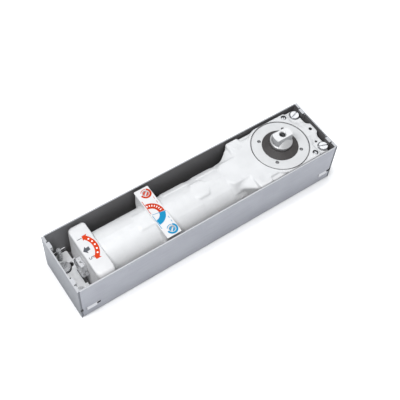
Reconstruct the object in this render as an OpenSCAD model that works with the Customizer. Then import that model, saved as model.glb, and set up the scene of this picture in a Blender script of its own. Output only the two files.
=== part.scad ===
// Floor spring for a double-action door: a hydraulic closer in its sheet-steel cement box.
// Origin on the spindle axis at the underside of the box, +X towards the spindle end, +Z up.

/* [Cement box] */
// Outside length of the box
box_l = 342; // [338:1:350]
// Outside width of the box
box_w = 78; // [77:0.5:84]
// Outside height of the box
box_h = 60; // [56:1:66]
// Thickness of the box sheet
sheet_t = 1.5; // [1.2:0.1:1.8]
// Outside radius of the bends
bend_r = 2.5; // [2:0.1:3]
// Distance from the spindle axis to the outside of the near end
spindle_to_end = 54; // [53:0.5:58]
// Length of the flaps that turn in behind the end plates
flap_l = 20; // [19.5:0.5:22]
// Distance of the hooks of an end plate from the long sides
hook_inset = 14; // [13:0.5:14.5]
// Width of a hook
hook_w = 8; // [6:0.5:9]
// Length of a lanced anchor tab
tab_l = 13; // [10:0.5:16]
// Width of a lanced anchor tab
tab_w = 4; // [3:0.5:5]
// Height of the anchor tabs above the underside
tab_z = 16; // [12:0.5:20]
// Distance of an anchor tab's far end from the end of the box
tab_inset = 6.6; // [5:0.2:10]

/* [Closer body] */
// Height of the cylinder axis above the underside of the box
axis_z = 30; // [29.5:0.1:31]
// Outside diameter of the cylinder
tube_d = 55; // [54:0.5:56]
// Bore of the cylinder
bore_d = 38; // [37.5:0.1:38.5]
// Gap between the flat sides of the head and the long walls
head_gap = 2; // [1.5:0.1:2.3]
// Thickness of the deck on the head
deck_t = 12; // [9:0.5:13]
// Reach of the round rim of the deck past the flat sides
rim_over = 2.5; // [1.5:0.5:3.5]
// Step from the flat sides of the head in to the drum below the deck
drum_step = 2.5; // [1.5:0.1:3]
// Half the width of the neck of the deck
neck_half_w = 15; // [12:0.5:17]
// Distance from the spindle axis to the far end of the neck
neck_end = 79.5; // [75:0.5:85]
// Distance from the spindle axis to the far side of the ears
ear_far = 54; // [52:0.5:58]
// Distance from the spindle axis to the near side of the ears
ear_near = 36; // [35:0.5:38]
// Depth of the pockets between the ears and the rim
pocket_depth = 2.5; // [2:0.5:4]
// Height of the flat-topped ribs and pads above the crown of the cylinder
crown_rise = 0.3; // [0.2:0.1:0.8]
// Radius of the chamber round the cam
chamber_r = 24; // [23.5:0.1:25]
// Diameter of the turned end of the cylinder in the end cap
tube_end_d = 48; // [47:0.5:50]

/* [Bearing cover] */
// Land between the groove round the cover and the flat sides of the head
cover_land = 0.7; // [0.5:0.1:1.2]
// Width of the groove round the cover
groove_w = 1.4; // [1:0.1:1.6]
// Depth of the groove round the cover
groove_depth = 3.5; // [2:0.1:4]
// Thickness of the cover
cover_h = 6.2; // [5.5:0.1:6.4]
// Height of the cover's top below the deck
cover_drop = 0.5; // [0:0.1:0.8]
// Radius of the boss below the cover
cover_boss_r = 19.5; // [19:0.1:20.5]
// Height of the boss below the cover
cover_boss_h = 5.3; // [5:0.1:5.6]
// Distance of a spanner hole from the spindle axis, along X and along Y
spanner_xy = 17.5; // [17:0.1:18.5]
// Diameter of a spanner hole
spanner_d = 4.4; // [4:0.1:5]
// Radius of the shaft seal
seal_r = 21.3; // [20:0.1:21.8]

/* [Spindle] */
// Height of the top of the spindle above the underside of the box
spindle_top = 78; // [76:0.5:84]
// Radius of the upper journal
journal_r = 12; // [11.5:0.1:12.4]
// Radius of the lower journal
foot_r = 8; // [7.5:0.1:8.5]
// Radius of the shaft through the cam
shaft_r = 9.5; // [9:0.1:9.8]
// Radius of the collar above the seal
collar_r = 13; // [12.8:0.1:14]
// Length of the drive tang
tang_l = 23.6; // [22:0.1:24]
// Thickness of the drive tang at its top
tang_top = 12; // [11:0.1:13]
// Thickness of the drive tang at its root
tang_root = 13.8; // [13.2:0.1:14.5]
// Radius of the threaded hole in the drive tang
thread_r = 3.4; // [3.3:0.05:4.2]
// Depth of the threaded hole in the drive tang
thread_depth = 16; // [12:0.5:20]

/* [Cam and roller] */
// Distance from the spindle axis to the roller axis with the door closed
rest_rho = 18; // [17.7:0.1:18.5]
// Radius of the roller
roller_r = 6; // [5.7:0.1:6.1]
// Lift of the cam in mm per radian of spindle swing
cam_lift = 4.4074; // [4:0.0001:4.5]
// Swing in degrees over which the cam lifts
lift_angle = 136; // [132:1:140]
// Thickness of the cam
cam_t = 12; // [10:0.5:13]
// Clearance between cam and roller
cam_clear = 0.2; // [0.15:0.01:0.3]
// Radius of the pin of the roller
pin_r = 3; // [2.5:0.1:3.2]
// Wall of the bush in the roller
bush_t = 1.2; // [1:0.1:1.4]
// Thickness of a fork arm
arm_t = 8; // [7:0.1:8.3]
// Half the width of a fork arm
arm_half_w = 7; // [6:0.1:7.4]

/* [Piston and spring] */
// Length of the piston
piston_l = 44; // [38:1:50]
// Thickness of the crown of the piston
crown_t = 10; // [9.5:0.5:12]
// Inside radius of the skirt of the piston
skirt_r = 16.8; // [16.5:0.1:17.5]
// Diameter of the spring wire
wire_d = 5.8; // [5:0.1:6]
// Outside diameter of the spring
spring_d = 32; // [31:0.5:32.5]
// Turns of the spring
spring_turns = 19; // [16:1:20]
// Distance of the working face of the spring seat from the end cap
seat_room = 18.3; // [17.5:0.1:22]
// Thickness of the spring seat
seat_t = 10; // [8:0.5:11]
// Travel of the spring seat
seat_travel = 12; // [8:0.5:13]

/* [Spring end] */
// Distance of the outer face of the end cap from the far end of the box
cap_clear = 27; // [26:0.5:28]
// Length of the end cap
cap_l = 20.7; // [19:0.1:22]
// Gap between the end cap and the long walls
cap_gap = 2.5; // [1.5:0.1:4.5]
// Chamfer of the upright edges of the end cap
cap_chamfer = 5.5; // [3:0.5:6]
// Depth of the seat of the cylinder in the end cap
cap_seat = 8.7; // [7:0.1:10]
// Width across the flats of the adjusting hexagon
hex_af = 22; // [20:0.5:24]
// Length of the adjusting hexagon
hex_l = 6; // [5:0.5:7]
// Radius of the rod of the adjusting screw
rod_r = 6; // [5.5:0.1:6.2]
// Radius of the adjusting screw in the end cap
adjuster_r = 8; // [7.5:0.1:8.5]
// Height of the top of the mounting bracket above the underside of the box
bracket_top = 11; // [10:0.5:12]
// Thickness of the mounting bracket
bracket_t = 3; // [2.5:0.1:3.5]
// Gap between the plate edge of the mounting bracket and the end cap
bracket_gap = 3; // [2.5:0.1:4]
// Distance of the keyhole centres from the far end of the box
keyhole_end = 12; // [11.5:0.5:13]
// Distance of the keyhole centres from the long sides
keyhole_side = 21; // [20:0.5:21.5]
// Radius of the round end of a keyhole
keyhole_r = 7.5; // [7.2:0.1:8]
// Distance of the levelling screws of the bracket from the long sides
pin_side = 8.6; // [8:0.1:9]
// Height of the top of the levelling screws of the bracket
pin_top = 32; // [20:1:45]
// Radius of the levelling screws of the bracket
level_pin_r = 2.8; // [2.5:0.1:3]

/* [Spindle end] */
// Distance of the clamp screws from the end of the lugs
clamp_end = 4.2; // [4:0.1:5]
// Distance of the clamp screws from the flat sides of the head
clamp_side = 8.5; // [8:0.1:9]
// Radius of the head of a clamp screw
clamp_head_r = 5.3; // [5:0.1:5.6]
// Height of the head of a clamp screw
clamp_head_h = 5; // [4:0.1:6]
// Radius of the thread of a clamp screw
clamp_r = 3; // [2.8:0.1:3.2]
// Depth of the recesses that hold the clamp screws' heads
clamp_sink = 5; // [4:0.5:6]
// Height of the top of the lugs below the deck
lug_drop = 2; // [1.5:0.1:2.5]
// Thickness of the lugs
lug_t = 13; // [12:0.5:14]
// Length of the lugs past the straight end of the deck
lug_l = 14.5; // [14:0.5:15]
// Gap between the lugs and the flaps of the near end
lug_gap = 4; // [3.5:0.1:4.5]
// Gap between the tongue and the near end plate
tongue_gap = 2; // [1:0.1:3]
// Distance of the levelling screws of the head from the straight end of the deck
level_end = 4.2; // [4:0.1:4.5]
// Distance of the levelling screws of the head from its flat sides
level_side = 5.5; // [5.1:0.1:5.7]
// Radius of the levelling screws of the head
level_r = 2.5; // [2.4:0.1:2.8]

/* [Valve block] */
// Distance from the spindle axis to the middle of the valve block
valve_x = 168.3; // [160:0.1:172]
// Length of the valve block
valve_block_l = 17.4; // [16:0.1:20]
// Step from the flat sides of the head in to the ends of the valve block
valve_block_step = 3.3; // [2.5:0.1:4]
// Distance of the valves from the ends of the valve block
valve_side = 5.8; // [5:0.1:6]
// Offset of the valves from the middle of the block towards the spindle
valve_dx = 1.8; // [0:0.1:2.5]
// Radius of the head of a valve
valve_head_r = 3.6; // [3.4:0.1:3.8]
// Radius of the stem of a valve
valve_stem_r = 2.9; // [2.5:0.1:3]
// Thickness of the label plate
label_t = 1; // [0.8:0.1:1.5]
// Overhang of the label plate past the block at each side
label_over = 2; // [1:0.1:2.4]

/* [Hidden] */
$fn = 96;

// A cut runs this far past the face it opens
over = 1;
// Radial clearance of a running fit
run = 0.04;
// Clearance between parts that pass each other
slip = 0.3;
// Slot of a cheese-head or grub screw, and the angles the slots were left at
slot_w = 1.6;
slot_depth = 1.8;
clamp_slot_turn = 20;
level_slot_turn = 60;
pin_slot_turn = 20;
keyhole_slot_turn = 35;
valve_slot_turn = 45;

// Box
box_near = spindle_to_end;
box_far = spindle_to_end - box_l;
inner_near = box_near - sheet_t;
inner_far = box_far + sheet_t;
plate_inset = 0.5;
flap_gap = 0.6;
hook_y = box_w / 2 - hook_inset;
hook_drop = 7;
notch_w = 1.4;
notch_depth = 3;
lance_w = 0.7;
lance_hole = 4;
lance_tilt = 18;
tab_root = 0.6;
tab_slit = 0.5;
tab_thinned = 0.2;

// Closer
head_half_w = box_w / 2 - sheet_t - head_gap;
rim_r = head_half_w + rim_over;
drum_r = head_half_w - drum_step;
tube_r = tube_d / 2;
bore_r = bore_d / 2;
crown_z = axis_z + tube_r;
body_foot = axis_z - tube_r;
deck_z = crown_z;
deck_low = deck_z - deck_t;
tube_end_r = tube_end_d / 2;
cap_out = -box_far - cap_clear;
cap_in = cap_out - cap_l;
cap_half_w = box_w / 2 - sheet_t - cap_gap;
tube_far = cap_in + cap_seat;
ear_corner_r = 2;
neck_corner_r = 7;
neck_crease_w = 2.5;
neck_crease = 0.5;
pocket_r = 4.5;
pocket_y = head_half_w - 6;
web_half_w = head_half_w - 1;
pad_r = 6.5;
pad_x = 41.3;
pad_y = head_half_w - 8;
pad_sink = 0.5;

// Cover and seal
groove_r = head_half_w - cover_land;
cover_r = groove_r - groove_w;
groove_floor = deck_z - groove_depth;
cover_top = deck_z - cover_drop;
cover_low = cover_top - cover_h;
cover_foot = cover_low - cover_boss_h;
needle_t = 5;
needle_h = 7;
seal_foot = cover_foot + needle_h + 1;
seal_edge = deck_z;
seal_crown = seal_edge + 4.3;
cover_ring_r = 1;
cover_ring_at = cover_r - cover_ring_r;
cover_ring_z = cover_low + 1.6;

// Cam chamber
cam_low = axis_z - cam_t / 2;
cam_high = axis_z + cam_t / 2;
arm_low = cam_low - slip - arm_t;
arm_high = cam_high + slip + arm_t;
arm_gap = 0.7;
chamber_floor = arm_low - arm_gap;
chamber_roof = cover_low;
foot_needle_t = 4;
foot_pocket_r = foot_r + foot_needle_t;
foot_wall = 3.5;
foot_floor = body_foot + foot_wall;
washer_t = 1.5;
bore_stop = 15;

// Spindle
foot_low = foot_floor + washer_t;
journal_low = cover_foot - 0.5;
collar_low = seal_crown + 1.4;
collar_top = collar_low + 3.8;
cone_top_r = 4;
key_w = 5;
key_out = 2;
key_in = 2;

// Cam
valley_slope = atan(cam_lift / rest_rho);
contact_r = roller_r + cam_clear;
cam_step = 4;

// Piston
crown_gap = 2;
piston_near = rest_rho + roller_r + crown_gap;
piston_far = piston_near + piston_l;
crown_back = piston_near + crown_t;
ring_w = 2.4;
ring_at = piston_near + 3.4;
ball_r = 3;
ball_port_r = 2;
ball_seat_x = piston_near + 2.5;

// Spring
seat_face = cap_in - seat_room;
wire_r = wire_d / 2;
coil_r = spring_d / 2 - wire_r;
coil_near = crown_back + slip + wire_r;
coil_far = seat_face - slip - wire_r;
coil_pitch = (coil_far - coil_near) / spring_turns;
coil_rings = 8;
coil_sides = 6;
seat_spigot_r = (coil_r - wire_r) * cos(180 / coil_rings) - slip;
seat_spigot_l = 5;
echo(least_gap_between_turns = coil_pitch - wire_d);

// Adjuster
seat_back = seat_face + seat_t;
spigot_end = cap_in - 0.3;
collar_t = 4;
rod_end = seat_face - seat_travel - 10;
key_tongue_w = 5;
key_tongue_h = 1.5;
hex_near = cap_out + slip;
hex_far = hex_near + hex_l;
stub_r = 6;
cross_pin_r = 1.25;
adjuster_ring_at = cap_out - 6;
adjuster_ring_r = 0.75;
cap_ring_at = tube_far - 4.4;
cap_ring_r = 1;

// Bracket
bracket_low = bracket_top - bracket_t;
bracket_side_gap = 1;
bracket_end_gap = 0.5;
bracket_edge = cap_out + bracket_gap;
keyhole_x = -box_far - keyhole_end;
keyhole_y = box_w / 2 - keyhole_side;
bracket_tongue_y = keyhole_y + 1;
bracket_tongue_w = 10;
bracket_tongue_in = 8;
bracket_screw_x = cap_out - 4;
bracket_screw_r = 2.5;
keyhole_slot_r = 2.9;
keyhole_slot_x = keyhole_x - 8;
pin_x = keyhole_x - 1;
pin_y = box_w / 2 - pin_side;
boss_r = 6;
boss_top = bracket_top - 1.5;
keyhole_screw_head_r = 6.5;
keyhole_screw_r = 3;
nut_boss_r = 5;
nut_boss_h = 3;

// Spindle end
lug_end = inner_near - sheet_t - lug_gap;
deck_end = lug_end - lug_l;
tongue_end = inner_near - tongue_gap;
level_x = deck_end - level_end;
level_y = head_half_w - level_side;
level_relief = 0.9;
level_relief_depth = 3;
level_top = deck_z - 1.6;
clamp_x = lug_end - clamp_end;
clamp_y = head_half_w - clamp_side;
clamp_thread_l = 34;
lug_top = deck_z - lug_drop;
lug_low = lug_top - lug_t;
post_r = 7;
post_top = lug_low - 1;
clamp_seat = lug_top - clamp_sink;
washer_h = 1.5;
washer_r = clamp_head_r + 0.6;
clamp_under = clamp_seat + washer_h;
clamp_recess_r = clamp_head_r + 1.5;
clamp_slip = 0.6;
tongue_half_w = 7.5;
tongue_hole_r = 2.1;
tongue_hole_x = tongue_end - 5.7;
small_hole_x = deck_end + 7.5;
small_hole_y = tongue_half_w + 9.7;
small_hole_r = 1.5;
level_boss_r = level_side;
level_boss_h = 20;

// Valves
block_far = valve_x + valve_block_l / 2;
block_near = valve_block_l / 2 - valve_x;
valve_at = valve_x - valve_dx;
block_top = crown_z;
valve_block_half_w = head_half_w - valve_block_step;
valve_y = valve_block_half_w - valve_side;
valve_head_h = 5.4;
valve_stem_low = axis_z + 4;
valve_tip_h = 3;
valve_ring_depth = 11;
valve_ring_at = block_top - valve_ring_depth;
valve_ring_r = 0.5;
port_r = 1;

// A round bar along X from the far x to the near x, on the cylinder axis
module bar(far, near, r, sides = $fn) {
  translate([far, 0, axis_z]) rotate([0, 90, 0]) cylinder(h = near - far, r = r, $fn = sides);
}

// An upright round bar from one height to another
module post(x, y, low, high, r) {
  translate([x, y, low]) cylinder(h = high - low, r = r);
}

// A box between two corners
module block(low, high) {
  translate(low) cube(high - low);
}

// A flat outline raised from one height to another
module plate(low, high) {
  translate([0, 0, low]) linear_extrude(height = high - low) children();
}

// A rectangle with round corners, between two corners
module round_rect(low, high, r) {
  translate([low.x + r, low.y]) square([high.x - low.x - 2 * r, high.y - low.y]);
  translate([low.x, low.y + r]) square([high.x - low.x, high.y - low.y - 2 * r]);
  for (x = [low.x + r, high.x - r], y = [low.y + r, high.y - r]) translate([x, y]) circle(r);
}

// An O-ring round the Z axis
module o_ring_z(z, mid_r, r) {
  translate([0, 0, z]) rotate_extrude($fn = 48) translate([mid_r, 0]) circle(r, $fn = 24);
}

// An O-ring round the cylinder axis
module o_ring_x(x, mid_r, r) {
  translate([x, 0, axis_z]) rotate([0, 90, 0]) rotate_extrude($fn = 48)
    translate([mid_r, 0]) circle(r, $fn = 24);
}

// The slot across the top of an upright screw
module screw_slot(x, y, top, r, turn = 0) {
  translate([x, y, top - slot_depth]) rotate([0, 0, turn])
    translate([-r - over, -slot_w / 2, 0]) cube([2 * (r + over), slot_w, slot_depth + over]);
}

// Both sides of the middle plane
module both_sides() {
  children();
  mirror([0, 1, 0]) children();
}

// Channel of floor and long walls, bent from one sheet
module channel() {
  translate([inner_far + bend_r, 0, 0]) rotate([90, 0, 90])
    linear_extrude(height = inner_near - inner_far - 2 * bend_r) difference() {
      union() {
        round_rect([-box_w / 2, 0], [box_w / 2, box_h / 2], bend_r);
        translate([-box_w / 2, bend_r]) square([box_w, box_h - bend_r]);
      }
      round_rect([-box_w / 2 + sheet_t, sheet_t], [box_w / 2 - sheet_t, box_h / 2], bend_r - sheet_t);
      translate([-box_w / 2 + sheet_t, bend_r]) square([box_w - 2 * sheet_t, box_h]);
    }
  block([inner_far, -box_w / 2 + bend_r, 0], [inner_near, box_w / 2 - bend_r, sheet_t]);
}

// Upright bend and flap at the corner of the spindle end
module corner_flap() {
  difference() {
    plate(sheet_t + flap_gap, box_h) {
      translate([inner_near - bend_r, box_w / 2 - bend_r]) difference() {
        intersection() {
          circle(bend_r);
          square(bend_r);
        }
        circle(bend_r - sheet_t);
      }
      translate([inner_near - sheet_t, box_w / 2 - flap_l]) square([sheet_t, flap_l - bend_r]);
    }
    for (side = [-1, 1])
      translate([inner_near - sheet_t - over, hook_y + side * (hook_w + notch_w) / 2 - notch_w / 2,
        box_h - notch_depth]) cube([sheet_t + over, notch_w, notch_depth + over]);
    translate([inner_near - sheet_t - over, hook_y - hook_w / 2, box_h - sheet_t])
      cube([sheet_t + 2 * over, hook_w, sheet_t + over]);
  }
}

// Window of an anchor tab, with a square hole at its near end
module lance_cut(near_x) {
  translate([near_x - tab_l, -box_w / 2 - over, tab_z - tab_w / 2 - lance_w])
    cube([tab_l, sheet_t + 2 * over, tab_w + lance_w]);
  translate([near_x - over, -box_w / 2 - over, tab_z - lance_hole / 2])
    cube([over + lance_hole, sheet_t + 2 * over, lance_hole]);
}

// Anchor tab that hangs in its window from the top edge, its lower edge turned out of the wall
module lance_tab(near_x) {
  translate([near_x - tab_l + tab_slit, -box_w / 2, tab_z + tab_w / 2]) rotate([-lance_tilt, 0, 0])
    translate([0, 0, -tab_w]) cube([tab_l - 2 * tab_slit, sheet_t - tab_thinned, tab_w + tab_root]);
}

module cement_box() color([0.66, 0.67, 0.71]) {
  difference() {
    union() {
      channel();
      both_sides() {
        corner_flap();
        translate([inner_near + inner_far, 0, 0]) mirror([1, 0, 0]) corner_flap();
      }
    }
    both_sides() {
      lance_cut(box_near - tab_inset);
      lance_cut(box_far + tab_inset + tab_l);
    }
  }
  both_sides() {
    lance_tab(box_near - tab_inset);
    lance_tab(box_far + tab_inset + tab_l);
  }
}

// Flat end plate with two hooks folded over the flaps, drawn at the spindle end
module end_plate() {
  plate(0, box_h) translate([inner_near, -box_w / 2 + plate_inset])
    square([sheet_t, box_w - 2 * plate_inset]);
  both_sides() {
    block([inner_near - 2 * sheet_t, hook_y - hook_w / 2, box_h - sheet_t],
      [inner_near, hook_y + hook_w / 2, box_h]);
    block([inner_near - 2 * sheet_t, hook_y - hook_w / 2, box_h - hook_drop],
      [inner_near - sheet_t, hook_y + hook_w / 2, box_h - sheet_t]);
  }
}

module spindle_end_plate() color([0.62, 0.63, 0.67]) end_plate();

module spring_end_plate() color([0.62, 0.63, 0.67])
  translate([inner_near + inner_far, 0, 0]) mirror([1, 0, 0]) end_plate();

// Threaded posts on the floor under the lugs
module clamp_posts() color([0.6, 0.61, 0.63]) both_sides() difference() {
  post(clamp_x, clamp_y, sheet_t, post_top, post_r);
  post(clamp_x, clamp_y, sheet_t + 3, post_top + over, clamp_r);
}

// Threaded bosses on the floor under the keyholes
module keyhole_bosses() color([0.6, 0.61, 0.63]) both_sides() difference() {
  post(-keyhole_x, keyhole_y, sheet_t, boss_top, boss_r);
  post(-keyhole_x, keyhole_y, sheet_t + 1, boss_top + over, keyhole_screw_r);
}

// Outline of the neck, the strip of the deck that runs out over the cylinder
module neck_outline() round_rect([-neck_end, -neck_half_w], [0, neck_half_w], neck_corner_r);

// Outline of the deck seen from above
module deck_outline() {
  neck_outline();
  round_rect([-ear_far, -head_half_w], [-ear_near, head_half_w], ear_corner_r);
  difference() {
    translate([-ear_near - over, -pocket_y]) square([ear_near, 2 * pocket_y]);
    for (side = [-1, 1]) hull() {
      translate([-ear_near + pocket_r, side * pocket_y]) circle(pocket_r);
      translate([0, side * pocket_y]) circle(pocket_r);
    }
  }
  intersection() {
    circle(rim_r);
    square([2 * ear_near, 2 * head_half_w], center = true);
  }
  round_rect([0, -head_half_w], [deck_end, head_half_w], ear_corner_r);
}

// Outline of the plate that carries the tongue and the two lugs
module lug_outline() round_rect([drum_r - 12, -web_half_w], [lug_end, web_half_w], 4);

module tongue_outline() {
  round_rect([deck_end - 8, -tongue_half_w], [tongue_end, tongue_half_w], 1);
  difference() {
    translate([deck_end - over, -tongue_half_w - 8]) square([9, 2 * tongue_half_w + 16]);
    for (side = [-1, 1]) translate([deck_end + 8, side * (tongue_half_w + 8)]) circle(8);
  }
}

// Sloping web from an ear down to the cylinder
module gusset() hull() {
  block([-ear_far, neck_half_w - 2, axis_z + 6], [-ear_far + 2, head_half_w - 3, deck_z - 4]);
  block([-ear_far - 19, neck_half_w - 2, axis_z + 6], [-ear_far, neck_half_w + 1, deck_z - 5]);
}

// Flat-topped ribs, pads and bosses along the crown of the cylinder
module crown_features() {
  top = crown_z + crown_rise;
  low = crown_z - 6;
  rib = 3.75;
  block([-cap_in, -rib, low], [-valve_x - 25, rib, top]);
  block([-valve_x - 25, -10.5, low], [-block_far - over, 10.5, top]);
  plate(low, top) {
    polygon([[block_near + 0.8, -rib], [block_near + 12, -rib], [block_near + 15, 0],
      [block_near + 12, rib], [block_near + 0.8, rib]]);
    translate([-113, 0]) rotate(22.5) circle(r = 11, $fn = 8);
    translate([-133, -rib]) square([38, 2 * rib]);
    translate([-96, -0.8]) square([18, 1.6]);
  }
}

// Low raised skins on the flanks of the cylinder
module flank_skins() {
  for (span = [[-151, -119], [-108, -82]]) intersection() {
    bar(span[0], span[1], tube_r + 0.8);
    block([span[0] - over, 14, axis_z + 4], [span[1] + over, tube_r + 2, crown_z - 2]);
  }
}

// Block across the cylinder that holds the two valves
module valve_block() {
  translate([-block_far, 0, 0]) rotate([90, 0, 90]) linear_extrude(height = valve_block_l)
    polygon([[-valve_block_half_w, block_top], [-valve_block_half_w, axis_z + 8],
      [-valve_block_half_w + 4, axis_z - 8], [-12, body_foot + 4], [12, body_foot + 4],
      [valve_block_half_w - 4, axis_z - 8], [valve_block_half_w, axis_z + 8],
      [valve_block_half_w, block_top]]);
}

module body_solid() {
  bar(-tube_far + cap_seat, -bore_stop - 5, tube_r);
  bar(-tube_far, -bore_stop - 5, tube_end_r);
  post(0, 0, body_foot, deck_z, drum_r);
  plate(deck_low, deck_z) deck_outline();
  plate(deck_low, deck_z - pocket_depth) translate([-ear_far + 1, -web_half_w])
    square([ear_far, 2 * web_half_w]);
  plate(lug_low, lug_top) lug_outline();
  plate(lug_low, deck_z) tongue_outline();
  both_sides() {
    gusset();
    post(level_x, level_y, deck_z - level_boss_h, deck_z - over, level_boss_r);
    post(-pad_x, pad_y - 3, axis_z + 4, deck_z - over, pad_r + 1);
  }
  crown_features();
  flank_skins();
  valve_block();
}

// Passage of one valve, from its seat at the oil port up to the block's top
module valve_passage() {
  post(-valve_at, valve_y, block_top - valve_head_h, block_top + over, valve_head_r + run);
  post(-valve_at, valve_y, valve_stem_low, block_top, valve_stem_r + run);
  post(-valve_at, valve_y, valve_ring_at - 2 * valve_ring_r, valve_ring_at + 2 * valve_ring_r,
    valve_stem_r + run + 2 * valve_ring_r);
  translate([-valve_at, valve_y, valve_stem_low - valve_tip_h])
    cylinder(h = valve_tip_h + 0.01, r1 = port_r, r2 = valve_stem_r + run);
  translate([-valve_at, valve_y, valve_stem_low - valve_tip_h - 1]) cylinder(h = 2, r = port_r);
  translate([-valve_at, valve_y, valve_stem_low - valve_tip_h]) rotate([90, 0, 0])
    cylinder(h = valve_y - bore_r + 4, r = port_r);
}

module closer_body() color([0.93, 0.93, 0.94]) difference() {
  body_solid();
  plate(deck_z - neck_crease, deck_z + over) difference() {
    intersection() {
      offset(neck_crease_w) neck_outline();
      translate([-neck_end - 2 * neck_crease_w, -tube_r]) square([3 * neck_corner_r, 2 * tube_r]);
    }
    neck_outline();
  }
  bar(-tube_far - over, -bore_stop, bore_r);
  block([-tube_far - over, -key_tongue_w / 2 - 0.2, axis_z - bore_r - key_tongue_h],
    [-rod_end + 2, key_tongue_w / 2 + 0.2, axis_z - bore_r + 3]);
  post(0, 0, chamber_floor, chamber_roof + over, chamber_r);
  post(0, 0, chamber_roof, deck_z, cover_r + run);
  post(0, 0, groove_floor, deck_z + over, groove_r);
  post(0, 0, foot_floor, chamber_floor + over, foot_pocket_r);
  both_sides() {
    valve_passage();
    post(clamp_x, clamp_y, lug_low - over, deck_z, clamp_r + clamp_slip);
    post(clamp_x, clamp_y, clamp_seat, deck_z + over, clamp_recess_r);
    post(level_x, level_y, deck_z - level_boss_h - over, deck_z + over, level_r + run);
    post(level_x, level_y, deck_z - level_relief_depth, deck_z + over, level_r + level_relief);
    post(-pad_x, pad_y, deck_z - pad_sink, deck_z + over, pad_r);
  }
  post(tongue_hole_x, 0, lug_low, deck_z + over, tongue_hole_r);
  post(small_hole_x, -small_hole_y, lug_top - 5, lug_top + over, small_hole_r);
  post(-cap_in - cap_seat / 2, 0, body_foot, axis_z - tube_end_r + 1, bracket_screw_r + run);
}

module bearing_cover() color([0.93, 0.93, 0.94]) difference() {
  union() {
    post(0, 0, cover_low, cover_top, cover_r);
    post(0, 0, cover_foot, cover_top, cover_boss_r);
  }
  post(0, 0, seal_foot, cover_top + over, seal_r + run);
  post(0, 0, cover_foot - over, cover_top, journal_r + 1.5);
  post(0, 0, cover_foot - over, cover_foot + needle_h, journal_r + needle_t);
  difference() {
    post(0, 0, cover_ring_z - 1.3 * cover_ring_r, cover_ring_z + 1.3 * cover_ring_r, cover_r + over);
    post(0, 0, cover_foot - over, cover_top, cover_r - 2 * cover_ring_r);
  }
  for (x = [-1, 1], y = [-1, 1])
    post(x * spanner_xy, y * spanner_xy, seal_foot, cover_top + over, spanner_d / 2);
}

module shaft_seal() color([0.2, 0.19, 0.19]) rotate_extrude()
  polygon([[journal_r + run, seal_foot], [seal_r, seal_foot], [seal_r, seal_edge],
    [seal_r - 0.8, seal_edge + 0.5], [journal_r + 1.6, seal_crown], [journal_r + run, seal_crown]]);

// Loose rollers held in a drawn shell, modelled as one plain ring
module needle_ring(low, high, inner, outer) {
  difference() {
    post(0, 0, low, high, outer);
    post(0, 0, low - over, high + over, inner);
  }
}

module cover_o_ring() color([0.12, 0.12, 0.12])
  o_ring_z(cover_ring_z, cover_ring_at, cover_ring_r - 0.1);

module upper_needle_bearing() color([0.75, 0.76, 0.78])
  needle_ring(cover_foot, cover_foot + needle_h, journal_r + run, journal_r + needle_t);

module lower_needle_bearing() color([0.75, 0.76, 0.78])
  needle_ring(foot_floor + washer_t, chamber_floor, foot_r + run, foot_pocket_r);

module thrust_washer() color([0.7, 0.6, 0.35])
  needle_ring(foot_floor, foot_floor + washer_t, 3, foot_pocket_r);

// Drive tang: round ends of the shaft between two flats that taper towards the top
module tang() intersection() {
  post(0, 0, collar_top - over, spindle_top, tang_l / 2);
  translate([-tang_l, 0, 0]) rotate([90, 0, 90]) linear_extrude(height = 2 * tang_l)
    polygon([[-tang_root / 2, collar_top - over], [tang_root / 2, collar_top - over],
      [tang_root / 2, collar_top], [tang_top / 2, spindle_top], [-tang_top / 2, spindle_top],
      [-tang_root / 2, collar_top]]);
}

module spindle() color([0.78, 0.79, 0.8]) difference() {
  union() {
    rotate_extrude() polygon([[0, foot_low], [foot_r - 0.5, foot_low], [foot_r, foot_low + 0.5],
      [foot_r, chamber_floor], [shaft_r, chamber_floor + 0.8], [shaft_r, journal_low],
      [journal_r, journal_low + 0.5], [journal_r, collar_low], [collar_r, collar_low + 0.6],
      [collar_r, collar_top - 0.4], [collar_r - 0.4, collar_top],
      [cone_top_r, collar_top + collar_r - 0.4 - cone_top_r], [0, collar_top + collar_r - cone_top_r]]);
    tang();
  }
  post(0, 0, spindle_top - thread_depth, spindle_top + over, thread_r);
  translate([0, 0, spindle_top - 0.9]) cylinder(h = 0.91, r1 = thread_r, r2 = thread_r + 0.9);
  block([shaft_r - key_in, -key_w / 2, cam_low], [shaft_r + over, key_w / 2, cam_high]);
}

// Distance of the roller's path from the spindle axis at an angle from the valley of the cam
function rho(turn) = rest_rho + cam_lift * turn * PI / 180;

// Point of the cam under the roller: one roller radius in from the path, square to it
function cam_point(turn) =
  let (slope = atan(cam_lift / rho(turn)))
  [rho(turn) * cos(turn) - contact_r * cos(turn - slope),
   rho(turn) * sin(turn) - contact_r * sin(turn - slope)];

// One side of the outline: the valley the roller rests in, the even rise, and the far round
function cam_side() = concat(
  [for (a = [2 : 4 : valley_slope - 1])
    [rest_rho - contact_r * cos(a), contact_r * sin(a)]],
  [for (turn = [0 : cam_step : lift_angle]) cam_point(turn)],
  [for (a = [lift_angle + 6 : cam_step : 178])
    norm(cam_point(lift_angle)) * [cos(a), sin(a)]]);

module cam_disc() color([0.6, 0.61, 0.64]) difference() {
  side = cam_side();
  plate(cam_low, cam_high) rotate(180)
    polygon(concat(side, [for (i = [len(side) - 1 : -1 : 0]) [side[i].x, -side[i].y]]));
  post(0, 0, cam_low - over, cam_high + over, shaft_r + run);
  block([0, -key_w / 2, cam_low - over], [shaft_r + key_out, key_w / 2, cam_high + over]);
}

module cam_key() color([0.7, 0.71, 0.73])
  block([shaft_r - key_in, -key_w / 2, cam_low], [shaft_r + key_out, key_w / 2, cam_high]);

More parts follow.
